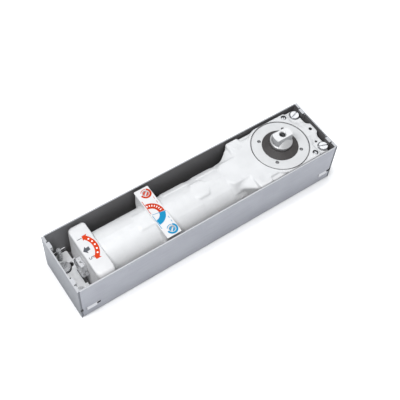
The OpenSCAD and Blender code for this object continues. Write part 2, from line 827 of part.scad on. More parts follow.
// Plan of a fork arm: straight sides and a round end about the roller's pin
module arm_outline() {
  translate([-piston_near - over, -arm_half_w]) square([piston_near + over - rest_rho, 2 * arm_half_w]);
  translate([-rest_rho, 0]) circle(arm_half_w);
}

module piston() color([0.55, 0.56, 0.58]) difference() {
  union() {
    bar(-piston_far, -piston_near, bore_r - run);
    plate(cam_high + slip, arm_high) arm_outline();
    plate(arm_low, cam_low - slip) arm_outline();
  }
  bar(-piston_far - over, -crown_back, skirt_r);
  post(-rest_rho, 0, arm_low - over, arm_high + over, pin_r);
  difference() {
    bar(-ring_at - ring_w, -ring_at, bore_r + over);
    bar(-ring_at - ring_w - over, -ring_at + over, bore_r - 2.2);
  }
  bar(-ball_seat_x - over, -piston_near + over, ball_port_r);
  bar(-crown_back - over, -ball_seat_x, ball_r + slip);
}

module piston_ring() color([0.35, 0.36, 0.38]) difference() {
  bar(-ring_at - ring_w + 0.1, -ring_at - 0.1, bore_r - run / 2);
  bar(-ring_at - ring_w, -ring_at, bore_r - 2);
  block([-ring_at - ring_w, -0.5, axis_z + bore_r - 4], [-ring_at, 0.5, axis_z + bore_r + over]);
}

module roller_pin() color([0.72, 0.73, 0.75]) post(-rest_rho, 0, arm_low + 0.3, arm_high - 0.3, pin_r);

module cam_roller() color([0.78, 0.79, 0.81]) difference() {
  post(-rest_rho, 0, cam_low, cam_high, roller_r);
  post(-rest_rho, 0, cam_low - over, cam_high + over, pin_r + run + bush_t);
}

module roller_bush() color([0.72, 0.55, 0.3]) difference() {
  post(-rest_rho, 0, cam_low, cam_high, pin_r + run + bush_t);
  post(-rest_rho, 0, cam_low - over, cam_high + over, pin_r + run);
}

module check_valve_ball() color([0.8, 0.81, 0.83])
  translate([-ball_seat_x - sqrt(ball_r * ball_r - ball_port_r * ball_port_r) - 0.1, 0, axis_z])
    sphere(ball_r, $fn = 32);

module check_valve_retainer() color([0.6, 0.61, 0.63]) difference() {
  bar(-crown_back + 0.2, -crown_back + 1.2, ball_r + slip);
  bar(-crown_back - over, -crown_back + 2, 1.5);
}

// One ring of points round the spring wire, square to the helix at a number of turns
function coil_ring(turns) =
  let (a = 360 * turns,
    x = -coil_near - coil_pitch * turns,
    lead = coil_pitch / (2 * PI * coil_r),
    out = [0, cos(a), sin(a)],
    along = [-lead, -sin(a), cos(a)] / norm([lead, 1]),
    side = cross(along, out))
  [for (k = [0 : coil_sides - 1])
    [x, coil_r * cos(a), axis_z + coil_r * sin(a)]
      + wire_r * (cos(360 * k / coil_sides) * out + sin(360 * k / coil_sides) * side)];

// Closes a stack of rings into one tube, in triangles
module tube_of_rings(rings, sides) {
  n = len(rings);
  walls = [for (i = [0 : n - 2], k = [0 : sides - 1])
    let (a = i * sides + k, b = i * sides + (k + 1) % sides)
    each [[a, a + sides, b], [b, a + sides, b + sides]]];
  near_cap = [for (k = [1 : sides - 2]) [0, k, k + 1]];
  far_cap = [for (k = [1 : sides - 2])
    [(n - 1) * sides, (n - 1) * sides + k + 1, (n - 1) * sides + k]];
  polyhedron(points = [for (r = rings) each r], faces = concat(walls, near_cap, far_cap));
}

module closing_spring() color([0.5, 0.52, 0.55])
  tube_of_rings([for (i = [0 : spring_turns * coil_rings]) coil_ring(i / coil_rings)], coil_sides);

module spring_seat() color([0.55, 0.56, 0.58]) difference() {
  union() {
    bar(-seat_back, -seat_face, bore_r - run);
    bar(-seat_face - over, -seat_face + seat_spigot_l, seat_spigot_r);
    block([-seat_back, -key_tongue_w / 2, axis_z - bore_r - key_tongue_h + 0.3],
      [-seat_face, key_tongue_w / 2, axis_z - bore_r + 2]);
  }
  bar(-seat_back - over, -seat_face + seat_spigot_l + over, rod_r + run);
}

module adjusting_screw() color([0.7, 0.71, 0.73]) difference() {
  union() {
    bar(-spigot_end + run, -rod_end, rod_r);
    bar(-spigot_end + run, -spigot_end + collar_t, adjuster_r + 4);
    bar(-cap_out, -spigot_end + over, adjuster_r - run);
    bar(-hex_far + 1.5, -cap_out + over, stub_r);
  }
  difference() {
    bar(-adjuster_ring_at - 1.2, -adjuster_ring_at + 1.2, adjuster_r + over);
    bar(-adjuster_ring_at - 2, -adjuster_ring_at + 2, adjuster_r - 2 * adjuster_ring_r);
  }
  post(-(hex_near + hex_far) / 2, 0, axis_z - hex_af, axis_z + hex_af, cross_pin_r + run);
}

module adjuster_hex() color([0.72, 0.73, 0.75]) difference() {
  intersection() {
    translate([-hex_far, 0, axis_z]) rotate([0, 90, 0]) rotate(30)
      cylinder(h = hex_l, r = hex_af / 2 / cos(30), $fn = 6);
    translate([-hex_far, 0, axis_z]) rotate([0, 90, 0])
      cylinder(h = hex_l, r1 = hex_af / 2 + 0.3, r2 = hex_af / 2 + 0.3 + hex_l * 1.7);
  }
  bar(-hex_far + 1.5, -hex_near + over, stub_r + run);
  post(-(hex_near + hex_far) / 2, 0, axis_z - hex_af, axis_z + hex_af, cross_pin_r + run);
}

module adjuster_pin() color([0.55, 0.56, 0.58])
  post(-(hex_near + hex_far) / 2, 0, axis_z - hex_af / 2, axis_z + hex_af / 2, cross_pin_r);

module adjuster_o_ring() color([0.12, 0.12, 0.12])
  o_ring_x(-adjuster_ring_at, adjuster_r - adjuster_ring_r, adjuster_ring_r - 0.05);

// Cast cap with a seat for the cylinder, a spigot in its bore and two slots for the bracket
module spring_end_cap() color([0.94, 0.94, 0.95]) difference() {
  intersection() {
    translate([-cap_out, 0, 0]) rotate([90, 0, 90]) linear_extrude(height = cap_l)
      round_rect([-cap_half_w, body_foot], [cap_half_w, crown_z], 6);
    plate(0, box_h) polygon([[-cap_out, cap_half_w - cap_chamfer], [-cap_out + cap_chamfer, cap_half_w],
      [-cap_in - 3, cap_half_w], [-cap_in, cap_half_w - 2.5], [-cap_in, -cap_half_w + 2.5],
      [-cap_in - 3, -cap_half_w], [-cap_out + cap_chamfer, -cap_half_w],
      [-cap_out, -cap_half_w + cap_chamfer]]);
  }
  difference() {
    bar(-tube_far, -cap_in + over, tube_end_r);
    difference() {
      bar(-tube_far - over, -spigot_end, bore_r);
      difference() {
        bar(-cap_ring_at - 1.3, -cap_ring_at + 1.3, bore_r + over);
        bar(-cap_ring_at - 2, -cap_ring_at + 2, bore_r - 2 * cap_ring_r);
      }
    }
  }
  bar(-cap_out - over, -cap_in + over, adjuster_r);
  both_sides() {
    block([-cap_out - over, bracket_tongue_y - bracket_tongue_w / 2, bracket_low],
      [-cap_out + bracket_tongue_in, bracket_tongue_y + bracket_tongue_w / 2, bracket_top]);
    post(-bracket_screw_x, bracket_tongue_y, body_foot - over, bracket_top + 5, bracket_screw_r + run);
    post(-bracket_screw_x, bracket_tongue_y, body_foot - over, body_foot + 2.4, bracket_screw_r + 2 + run);
  }
  post(-cap_in - cap_seat / 2, 0, 0, axis_z, bracket_screw_r + run);
}

module cap_o_ring() color([0.12, 0.12, 0.12])
  o_ring_x(-cap_ring_at, bore_r - cap_ring_r, cap_ring_r - 0.05);

module cap_lock_screw() color([0.5, 0.51, 0.53]) difference() {
  post(-cap_in - cap_seat / 2, 0, body_foot + 0.2, axis_z - tube_end_r + 0.9, bracket_screw_r);
  post(-cap_in - cap_seat / 2, 0, 0, body_foot + 1.8, 1.4);
}

module mounting_bracket() color([0.78, 0.79, 0.8]) difference() {
  union() {
    plate(bracket_low, bracket_top) {
      round_rect([inner_far + sheet_t + bracket_end_gap, -box_w / 2 + sheet_t + bracket_side_gap],
        [-bracket_edge, box_w / 2 - sheet_t - bracket_side_gap], 1.5);
      for (side = [-1, 1])
        translate([-bracket_edge - over, side * bracket_tongue_y - bracket_tongue_w / 2 + 0.1])
          square([bracket_edge + over - cap_out + bracket_tongue_in - 0.1, bracket_tongue_w - 0.2]);
    }
    both_sides() post(-pin_x, pin_y, bracket_low - nut_boss_h, bracket_low + 0.5, nut_boss_r);
  }
  block([-bracket_edge - 2.5, -hex_af / 2 + 1, 0], [-bracket_edge + over, hex_af / 2 - 1, box_h]);
  both_sides() {
    post(-keyhole_x, keyhole_y, 0, box_h, keyhole_r);
    post(-keyhole_slot_x, keyhole_y + 0.5, 0, box_h, keyhole_slot_r);
    block([-keyhole_x, keyhole_y + 0.5 - keyhole_slot_r, 0],
      [-keyhole_slot_x, keyhole_y + 0.5 + keyhole_slot_r, box_h]);
    post(-pin_x, pin_y, 0, box_h, level_pin_r + run);
    post(-bracket_screw_x, bracket_tongue_y, 0, box_h, bracket_screw_r + run);
  }
}

module bracket_screws() color([0.6, 0.61, 0.63]) both_sides() difference() {
  union() {
    post(-bracket_screw_x, bracket_tongue_y, body_foot + 1, bracket_top + 4.5, bracket_screw_r);
    post(-bracket_screw_x, bracket_tongue_y, body_foot + 0.4, body_foot + 2.4, bracket_screw_r + 2);
  }
  post(-bracket_screw_x, bracket_tongue_y, 0, body_foot + 1.6, 1.5);
}

module keyhole_screws() color([0.72, 0.73, 0.75]) both_sides() difference() {
  union() {
    post(-keyhole_x, keyhole_y, boss_top, boss_top + 4.6, keyhole_screw_head_r);
    post(-keyhole_x, keyhole_y, sheet_t + 2, boss_top + 0.5, keyhole_screw_r);
  }
  screw_slot(-keyhole_x, keyhole_y, boss_top + 4.6, keyhole_screw_head_r, keyhole_slot_turn);
}

module bracket_levelling_screws() color([0.72, 0.73, 0.75]) both_sides() difference() {
  post(-pin_x, pin_y, sheet_t, pin_top, level_pin_r);
  screw_slot(-pin_x, pin_y, pin_top, level_pin_r, pin_slot_turn);
}

module clamp_washers() color([0.7, 0.71, 0.73]) both_sides() difference() {
  post(clamp_x, clamp_y, clamp_seat, clamp_seat + washer_h, washer_r);
  post(clamp_x, clamp_y, clamp_seat - over, clamp_seat + washer_h + over, clamp_r + 0.2);
}

module clamp_screws() color([0.72, 0.73, 0.75]) both_sides() difference() {
  union() {
    post(clamp_x, clamp_y, clamp_under, clamp_under + clamp_head_h, clamp_head_r);
    post(clamp_x, clamp_y, clamp_under - clamp_thread_l, clamp_under + 0.5, clamp_r);
  }
  screw_slot(clamp_x, clamp_y, clamp_under + clamp_head_h, clamp_head_r, clamp_slot_turn);
}

module head_levelling_screws() color([0.72, 0.73, 0.75]) both_sides() difference() {
  post(level_x, level_y, sheet_t, level_top, level_r);
  screw_slot(level_x, level_y, level_top, level_r, level_slot_turn);
}

// Plastic plate over the valve block, with a hole over each valve
module valve_label_plate() color([0.96, 0.96, 0.97]) difference() {
  plate(block_top, block_top + label_t)
    round_rect([-block_far - 0.2, -valve_block_half_w - label_over],
      [-block_far + valve_block_l + 0.2, valve_block_half_w + label_over], 1);
  both_sides() post(-valve_at, valve_y, block_top - over, block_top + label_t + over, valve_head_r + 0.3);
}

// Slotted regulating screw with a plain stem and a needle point
module regulating_valve(side) difference() {
  union() {
    post(-valve_at, side * valve_y, block_top - valve_head_h + 0.3, block_top + 0.5, valve_head_r);
    post(-valve_at, side * valve_y, valve_stem_low + 0.6, block_top - valve_head_h + 0.8, valve_stem_r);
    translate([-valve_at, side * valve_y, valve_stem_low - valve_tip_h + 1.2])
      cylinder(h = valve_tip_h - 0.6, r1 = port_r, r2 = valve_stem_r);
  }
  screw_slot(-valve_at, side * valve_y, block_top + 0.5, valve_head_r, valve_slot_turn);
}

module closing_speed_valve() color([0.75, 0.76, 0.78]) regulating_valve(1);

module latching_valve() color([0.75, 0.76, 0.78]) regulating_valve(-1);

module valve_o_rings() color([0.12, 0.12, 0.12]) both_sides()
  translate([-valve_at, valve_y, 0])
    o_ring_z(valve_ring_at, valve_stem_r + run + valve_ring_r + 0.02, valve_ring_r - 0.02);

cement_box();
spring_end_plate();
spindle_end_plate();
clamp_posts();
keyhole_bosses();
closer_body();
bearing_cover();
cover_o_ring();
shaft_seal();
upper_needle_bearing();
lower_needle_bearing();
thrust_washer();
spindle();
cam_disc();
cam_key();
piston();
piston_ring();
roller_pin();
cam_roller();
roller_bush();
check_valve_ball();
check_valve_retainer();
closing_spring();
spring_seat();
adjusting_screw();
adjuster_hex();
adjuster_pin();
adjuster_o_ring();
spring_end_cap();
cap_o_ring();
cap_lock_screw();
mounting_bracket();
bracket_screws();
keyhole_screws();
bracket_levelling_screws();
clamp_screws();
clamp_washers();
head_levelling_screws();
valve_label_plate();
closing_speed_valve();
latching_valve();
valve_o_rings();
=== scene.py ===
import math

import bpy
import numpy as np
from mathutils import Matrix, Vector


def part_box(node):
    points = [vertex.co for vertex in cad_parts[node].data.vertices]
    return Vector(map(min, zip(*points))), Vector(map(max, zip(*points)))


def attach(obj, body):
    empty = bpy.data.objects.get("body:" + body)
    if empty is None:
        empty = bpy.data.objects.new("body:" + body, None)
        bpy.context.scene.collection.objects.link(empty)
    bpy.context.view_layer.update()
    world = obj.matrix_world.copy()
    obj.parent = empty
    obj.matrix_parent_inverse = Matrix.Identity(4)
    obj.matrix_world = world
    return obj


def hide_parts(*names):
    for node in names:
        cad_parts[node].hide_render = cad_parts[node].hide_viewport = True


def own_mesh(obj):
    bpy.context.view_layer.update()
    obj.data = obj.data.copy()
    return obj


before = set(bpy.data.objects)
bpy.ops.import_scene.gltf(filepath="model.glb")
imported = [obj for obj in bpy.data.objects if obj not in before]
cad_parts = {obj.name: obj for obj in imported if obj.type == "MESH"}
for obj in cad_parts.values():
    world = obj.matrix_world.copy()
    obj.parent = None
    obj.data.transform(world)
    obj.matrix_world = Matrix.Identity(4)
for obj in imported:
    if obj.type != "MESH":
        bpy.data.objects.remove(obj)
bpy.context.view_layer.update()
root_body = "closer_in_box"


# The camera stands high over the spring end and looks along the box, leaning a little.
# The view is square and about 29 degrees wide, as the perspective of the box's edges shows.
heading = math.radians(51.144)
dip = math.radians(-56.967)
lean = math.radians(5.211)
camera_place = Vector((-0.4047, -0.3646, 0.7534))
forward = Vector((math.cos(dip) * math.cos(heading),
                  math.cos(dip) * math.sin(heading),
                  math.sin(dip)))
level_right = forward.cross(Vector((0, 0, 1))).normalized()
level_up = level_right.cross(forward)
right = level_right * math.cos(lean) + level_up * math.sin(lean)
up = level_up * math.cos(lean) - level_right * math.sin(lean)
scene = bpy.context.scene
camera = bpy.data.objects.new("camera", bpy.data.cameras.new("camera"))
scene.collection.objects.link(camera)
camera.matrix_world = Matrix((
    (right.x, up.x, -forward.x, camera_place.x),
    (right.y, up.y, -forward.y, camera_place.y),
    (right.z, up.z, -forward.z, camera_place.z),
    (0, 0, 0, 1)))
camera.data.sensor_width = 36
camera.data.lens = 68.37
camera.data.clip_start = 0.01
scene.camera = camera


# A white studio: an even white surround, one broad soft lamp overhead, one over the spring end
# and a weaker one behind. Seen by the camera and in gloss the surround is plain white.
class Signal:
    """One socket of a node tree. Arithmetic on it adds Math nodes to that tree."""

    def __init__(self, nodes, socket):
        self.nodes = nodes
        self.socket = socket

    def math(self, operation, *others):
        return self.nodes.node("Math", {"operation": operation}, dict(enumerate((self, *others))))

    def __abs__(self):
        return self.math("ABSOLUTE")

    def __add__(self, other):
        return self.math("ADD", other)

    __radd__ = __add__

    def __mul__(self, other):
        return self.math("MULTIPLY", other)

    __rmul__ = __mul__

    def __sub__(self, other):
        return self.math("SUBTRACT", other)

    def __rsub__(self, other):
        return self.nodes.node("Math", {"operation": "SUBTRACT"}, {0: other, 1: self})

    def __pow__(self, other):
        return self.math("POWER", other)

    def __gt__(self, other):
        return self.math("GREATER_THAN", other)

    def __lt__(self, other):
        return self.math("LESS_THAN", other)


class Nodes:
    """A node tree under construction."""

    def __init__(self, tree):
        self.tree = tree

    def feed(self, socket, value):
        """Links a signal to a socket, or sets a plain value on it."""
        if isinstance(value, Signal):
            self.tree.links.new(value.socket, socket)
        elif socket.type == "RGBA":
            socket.default_value = (*value, 1)
        else:
            socket.default_value = value

    def node(self, kind, settings, sockets, out=0):
        """Adds a node: first its settings, then its sockets' values or links, by number or name."""
        made = self.tree.nodes.new("ShaderNode" + kind)
        for key, value in settings.items():
            setattr(made, key, value)
        for key, value in sockets.items():
            self.feed(made.inputs[key], value)
        return Signal(self, made.outputs[out])

    def mix(self, share, low, high):
        """A colour between two, by a share from 0 to 1."""
        return self.node("Mix", {"data_type": "RGBA"}, {0: share, 6: low, 7: high}, out=2)

    def ray_seen(self):
        """1 for a ray from the camera or one mirrored or let through on its way, else 0."""
        camera_ray, glossy_ray, through_ray = (
            self.node("LightPath", {}, {}, out=f"Is {kind} Ray")
            for kind in ("Camera", "Glossy", "Transmission"))
        return camera_ray + glossy_ray + through_ray


def softbox(name, place, aim, side, watts):
    """A square area lamp at a place, turned to shine at a point."""
    lamp = bpy.data.objects.new(name, bpy.data.lights.new(name, "AREA"))
    lamp.data.size = side
    lamp.data.energy = watts
    lamp.location = place
    lamp.rotation_euler = (Vector(aim) - Vector(place)).to_track_quat("-Z", "Y").to_euler()
    scene.collection.objects.link(lamp)


scene.view_settings.view_transform = "Standard"
world = bpy.data.worlds.new("surround")
scene.world = world
world.use_nodes = True
sky = Nodes(world.node_tree)
sky.tree.nodes.clear()
lit_by = sky.node("Background", {}, {"Color": (0.93, 0.96, 1.0), "Strength": 0.58})
seen_as = sky.node("Background", {}, {"Color": (1, 1, 1), "Strength": 1.0})
surround = sky.node("MixShader", {}, {0: sky.ray_seen(), 1: lit_by, 2: seen_as})
sky.feed(sky.tree.nodes.new("ShaderNodeOutputWorld").inputs["Surface"], surround)

middle_x = -0.117
box_middle = (middle_x, 0.0, 0.03)
softbox("key_lamp", (-0.36, -0.34, 1.28), box_middle, side=0.9, watts=8.4)
softbox("end_lamp", (-0.66, -0.03, 0.92), (-0.27, 0.0, 0.02), side=0.3, watts=5.2)
softbox("far_lamp", (0.5, 0.5, 1.2), box_middle, side=0.8, watts=3.0)


# The floor is a broad white sweep that the box stands on, only there to catch its soft shadow.
# A little light of its own lifts it to white, and is left out right beside the box, which paints a
# soft shadow there.
class Finish(Nodes):
    """A material under construction: one Principled shader and the nodes that feed it."""

    def __init__(self, name):
        self.material = bpy.data.materials.new(name)
        self.material.use_nodes = True
        super().__init__(self.material.node_tree)
        self.shader = self.tree.nodes["Principled BSDF"]
        self.place = self.node("TexCoord", {}, {}, out="Object")

    def part(self, axis):
        """One coordinate of the object, in metres."""
        return self.node("SeparateXYZ", {}, {0: self.place}, out=axis)

    def stretched(self, scale):
        """The object's own coordinates, stretched per axis."""
        return self.node("Mapping", {}, {"Vector": self.place, "Scale": scale})

    def noise(self, scale, detail=3.0, rough=0.5, where=None):
        return self.node("TexNoise", {}, {"Vector": where or self.place, "Scale": scale,
                                          "Detail": detail, "Roughness": rough})

    def between(self, signal, low, high):
        """Where a signal lies between two levels, from 0 to 1 with soft ends."""
        return self.node("MapRange", {"interpolation_type": "SMOOTHSTEP"},
                         {"Value": signal, "From Min": low, "From Max": high})

    def near(self, x, y, reach, mirror=False):
        """Where the object lies within a reach of an upright line at x and y, in millimetres.

        Mirrored, it is so on both sides of the middle plane."""
        dx = self.part(0) - x * 0.001
        dy = (abs(self.part(1)) if mirror else self.part(1)) - y * 0.001
        return dx * dx + dy * dy < (reach * 0.001) ** 2

    def radius(self):
        """Distance from the Z axis."""
        x, y = self.part(0), self.part(1)
        return (x * x + y * y) ** 0.5

    def relief(self, height, depth, edge=0.0):
        """A Bump of a height signal, over edges rounded to a radius."""
        sockets = {"Strength": 1.0, "Distance": depth, "Height": height}
        if edge:
            sockets["Normal"] = self.node("Bevel", {"samples": 6}, {"Radius": edge})
        return self.node("Bump", {}, sockets)

    def shade(self, **sockets):
        for key, value in sockets.items():
            self.feed(self.shader.inputs[key.replace("_", " ")], value)
        return self.material


floor_reach, floor_level = 4, -0.0003
floor_mesh = bpy.data.meshes.new("floor")
floor_mesh.from_pydata([(x * floor_reach, y * floor_reach, floor_level)
                        for x, y in ((-1, -1), (1, -1), (1, 1), (-1, 1))], [], [(0, 1, 2, 3)])
floor = bpy.data.objects.new("floor", floor_mesh)
scene.collection.objects.link(floor)
paper = Finish("floor_paper")
half_length, half_width = 0.17, 0.04
beside = (abs(paper.part(0) - middle_x) - half_length).math("MAXIMUM", 0.0)
before = (abs(paper.part(1)) - half_width).math("MAXIMUM", 0.0)
clear_of_box = paper.between((beside * beside + before * before) ** 0.5, 0.002, 0.028)
# Painted shadow: the floor's glow fades out beside the box.
glow = paper.ray_seen() * (0.08 + 0.6 * clear_of_box)
floor_mesh.materials.append(paper.shade(
    Base_Color=(0.76, 0.76, 0.765),
    Roughness=0.9,
    Specular_IOR_Level=0.1,
    Emission_Color=paper.mix(glow, (0, 0, 0), (1, 1, 1)),
    Emission_Strength=1.0))


# The cement box: a channel bent from zinc-coated sheet 1.5 mm thick, with its flaps turned in
# behind two flat end plates that hook over them. The outside has a satin grey lacquer. Between
# the walls the sheet is painted dark as shade, and paler high up at the spring end as painted
# light.
def sheet_finish(name, dark, light, inside=None, metal=0.65):
    """Satin lacquer on rolled sheet: a cloudy tone, faint rolling streaks and a fine grain.

    Given tones for the inner faces, the faces between the walls take the first as painted shade,
    with less metal, and the second high up at the spring end as painted light. The cut rim has a
    painted highlight, the slits are painted near black as shade, and the anchor tabs are paler
    grey."""
    f = Finish(name)
    cloud = f.noise(26, 3)
    streak = f.noise(30, 2, where=f.stretched((1.2, 30, 30)))
    grain = f.noise(1900, 2)
    tone = f.between(cloud * 0.6 + streak * 0.4, 0.35, 0.65)
    colour = f.mix(tone, dark, light)
    if inside:
        x, z = f.part(0), f.part(2)
        off_middle = abs(f.part(1))
        rim_z, wall_y, end_x = 0.0596, 0.0381, 0.1701
        tab_z, tab_half, tab_y = 0.0157, 0.0025, 0.03903
        # Painted shade: the faces between the walls take the first given tone and less metal.
        within = ((off_middle < wall_y) * (abs(x - middle_x) < end_x)
                  * (z > 0.0004) * (z < rim_z - 0.0002))
        # Painted light: high up at the spring end they take the second, paler tone.
        painted_end_light = f.between(x, -0.20, -0.29) * f.between(z, 0.0, 0.06)
        colour = f.mix(within, colour, f.mix(painted_end_light, *inside))
        at_tab = abs(z - tab_z) < tab_half
        # Painted shade: the slits are near black; the tabs are a paler grey.
        slit = (off_middle > 0.0377) * (off_middle < 0.0388) * at_tab
        tab = (off_middle > tab_y) * at_tab
        # Painted highlight: the cut rim above the walls is a pale grey.
        colour = f.mix(z > rim_z, colour, (0.40, 0.41, 0.43))
        colour = f.mix(tab, f.mix(slit, colour, (0.02, 0.02, 0.02)), (0.5, 0.51, 0.53))
        metal = metal * (1 - within * 0.6)
    return f.shade(
        Base_Color=colour,
        Metallic=metal,
        Roughness=0.40 + 0.1 * cloud + 0.05 * grain,
        Normal=f.relief(grain + streak * 0.3, 0.00003, edge=0.0004))


def dress(material, *nodes):
    """Gives CAD nodes their finish."""
    for node in nodes:
        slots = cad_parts[node].data.materials
        slots.clear()
        slots.append(material)


# Inner tones: painted shade, and painted light high at the spring end; the spring end plate's are
# pale, painted light.
shaded_inside_tones = ((0.145, 0.142, 0.145), (0.22, 0.22, 0.23))
lit_end_inside_tones = ((0.55, 0.55, 0.56), (0.62, 0.62, 0.63))
dress(sheet_finish("box_sheet", (0.28, 0.29, 0.325), (0.33, 0.34, 0.375), shaded_inside_tones), "cement_box")
dress(sheet_finish("end_plate_sheet", (0.15, 0.16, 0.18), (0.18, 0.19, 0.21), shaded_inside_tones),
      "spindle_end_plate")
dress(sheet_finish("end_sheet_lit_inside", (0.15, 0.16, 0.18), (0.18, 0.19, 0.21), lit_end_inside_tones),
      "spring_end_plate")


# The closer's body: one iron casting of cylinder, head and valve block, lacquered pale grey-white.
# It is shown as the casting it is, with soft edges left by the mould, and the seats, bores and
# holes that are machined afterwards are cut crisply into it. All its lengths are in millimetres.
axis_z = 30
tube_r, spigot_r, bore_r = 27.5, 24, 19
cap_end, tube_end, spigot_end = -261.0, -240.3, -249
deck, deck_half = 57.5, 35.5
shelf_low, lug_low = 45.5, 42.5
shelf_half = 34.4
rib_top, rib_half = 57.8, 3.75
mark_x, mark_r = -70.5, 1.7
pad_x, pad_y = -41.3, 27.5
level_x, level_y = 28.3, 30
clamp_x, clamp_y = 42.8, 27
stud_x = 44.8
gauge_x, gauge_y = 40, -17.2
valve_x, valve_y = -166.5, 26.4


def casting_finish(name, dark, light, edge, lift=1.0):
    """Lacquered casting: a faint mottle, a sand-mould grain and a few shallow pits.

    Below the deck the colour is lightened by the lift, painted light on the sides. The groove round
    the cover is painted grey as shade, and the floors of the small holes near black as shade."""
    f = Finish(name)
    mottle = f.noise(55, 4)
    grain = f.noise(750, 3, 0.6)
    z, radius = f.part(2), f.radius()
    groove = (radius > 0.0332) * (radius < 0.0350) * (z < 0.0573)
    bored = (f.near(stud_x, 0, 2.3) * (z < 0.0572)
             + f.near(gauge_x, gauge_y, 1.8) * (z < 0.0553)
             + f.near(level_x, level_y, 3.6, mirror=True) * (z < 0.0572)).math("MINIMUM", 1.0)
    pits = f.node("TexVoronoi", {}, {"Vector": f.place, "Scale": 420.0})
    pit_floor = f.between(pits, 0.06, 0.2)
    tone = f.between(mottle, 0.3, 0.7)
    face = f.mix(tone, dark, light)
    # Painted light: below the deck the sides are lightened by the lift.
    sides = f.mix(tone, tuple(c * lift for c in dark), tuple(c * lift for c in light))
    film = f.mix(f.between(z, 0.0562, 0.044), face, sides)
    # Painted shade: the groove round the cover is grey, the floors of the small holes near black.
    groove_shade, hole_shade = (0.42, 0.42, 0.43), (0.06, 0.06, 0.065)
    return f.shade(
        Base_Color=f.mix(bored, f.mix(groove, film, groove_shade), hole_shade),
        Roughness=0.42 + 0.12 * grain,
        Coat_Weight=0.1,
        Coat_Roughness=0.35,
        Normal=f.relief(grain * 0.8 + pit_floor * 0.3, 0.00016, edge=edge))


def loft(rings, hoop=False):
    """Closed skin through rings of points; a hoop joins its last ring to its first.

    A skin is its points in millimetres and its faces, in arrays of faces with equal sides."""
    rows, sides = rings.shape[:2]
    row = np.arange(rows if hoop else rows - 1)[:, None]
    here = np.arange(sides)[None, :]
    after = (here + 1) % sides
    low, high = row * sides, (row + 1) % rows * sides
    quads = np.stack((low + here, low + after, high + after, high + here), 2).reshape(-1, 4)
    ends = [] if hoop else [here[:, ::-1], here + (rows - 1) * sides]
    return rings.reshape(-1, 3), [quads, *ends]


def lathe(profile, place=(0, 0, 0), along="z", sides=72, hoop=False):
    """Closed skin of rows (radius, distance) turned about an upright line or a line along X."""
    rows = np.array(profile, float)
    angle = np.linspace(0, math.tau, sides, endpoint=False)
    rings = np.stack((np.outer(rows[:, 0], np.cos(angle)), np.outer(rows[:, 0], np.sin(angle)),
                      np.outer(rows[:, 1], np.ones(sides))), 2)
    if along == "x":
        rings = rings[:, :, [2, 0, 1]]
    return loft(rings + np.array(place, float), hoop)


def prism(outline, low, high):
    """Closed skin of a flat outline raised from low to high."""
    flat = np.array(outline, float)
    return loft(np.stack([np.column_stack((flat, np.full(len(flat), float(z))))
                          for z in (low, high)]))


def mound(x, y, top, low):
    """Closed skin of a block whose top is a grid of heights over the plan points x and y."""
    rows, columns = x.shape
    upper = np.stack((x, y, top), 2).reshape(-1, 3)
    lower = upper * (1, 1, 0) + (0, 0, low)
    index = np.arange(rows * columns).reshape(rows, columns)
    a, b, c, d = index[:-1, :-1], index[1:, :-1], index[1:, 1:], index[:-1, 1:]
    over = np.stack((a, b, c, d), 2).reshape(-1, 4)
    under = np.stack((a, d, c, b), 2).reshape(-1, 4) + rows * columns
    loop = np.concatenate((index[:, 0], index[-1, 1:], index[-2::-1, -1], index[0, -2:0:-1]))
    after = np.roll(loop, -1)
    sides = np.stack((loop, loop + rows * columns, after + rows * columns, after), 1)
    return np.vstack((upper, lower)), [np.vstack((over, under, sides))]


def arc(x, y, r, degrees):
    """Points on a circle of radius r round x and y, one for each angle in degrees."""
    turn = np.radians(degrees)
    return np.stack((x + r * np.cos(turn), y + r * np.sin(turn)), -1)


def rounded(x0, x1, y0, y1, r, steps=6):
    """Outline of a rectangle whose corners are quarter circles of radius r."""
    x = np.array((x1 - r, x1 - r, x0 + r, x0 + r))[:, None]
    y = np.array((y0 + r, y1 - r, y1 - r, y0 + r))[:, None]
    start = np.array((-90, 0, 90, 180))[:, None]
    return arc(x, y, r, start + 90 * np.arange(steps + 1) / steps).reshape(-1, 2)


def lying(shell):
    """The same skin laid down, so that its height runs along X."""
    points, faces = shell
    return points[:, [2, 0, 1]], faces


def mirrored(shell):
    """The same skin on the other side of the middle plane, its faces turned to look outward."""
    points, faces = shell
    return points * (1, -1, 1), [group[:, ::-1] for group in faces]


def shade_smooth(made, sharp):
    """Shades an object smoothly, but not over edges above an angle in degrees."""
    made.data.polygons.foreach_set("use_smooth", [True] * len(made.data.polygons))
    made.data.set_sharp_from_angle(angle=math.radians(sharp))


def solid(name, shells, sharp=40):
    """One object of several skins, from millimetres to metres."""
    corners = []
    start = 0
    for points, faces in shells:
        for group in faces:
            corners += (group + start).tolist()
        start += len(points)
    mesh = bpy.data.meshes.new(name)
    mesh.from_pydata((np.vstack([points for points, faces in shells]) * 0.001).tolist(),
                     [], corners)
    mesh.update()
    made = bpy.data.objects.new(name, mesh)
    scene.collection.objects.link(made)
    if sharp:
        shade_smooth(made, sharp)
    return made


def settle(made):
    """Bakes the modifiers of an object into its mesh."""
    bpy.context.view_layer.update()
    baked = bpy.data.meshes.new_from_object(
        made.evaluated_get(bpy.context.evaluated_depsgraph_get()))
    made.modifiers.clear()
    made.data = baked


def as_cast(made, grain, rounds, most):
    """Melts the skins of an object into one, softens its edges, and keeps a number of faces."""
    made.modifiers.new("melt", "REMESH").voxel_size = grain
    soften = made.modifiers.new("soften", "SMOOTH")
    soften.factor = 0.5
    soften.iterations = rounds
    settle(made)
    thin = made.modifiers.new("thin", "DECIMATE")
    thin.ratio = min(1.0, most / (2 * len(made.data.polygons)))
    settle(made)


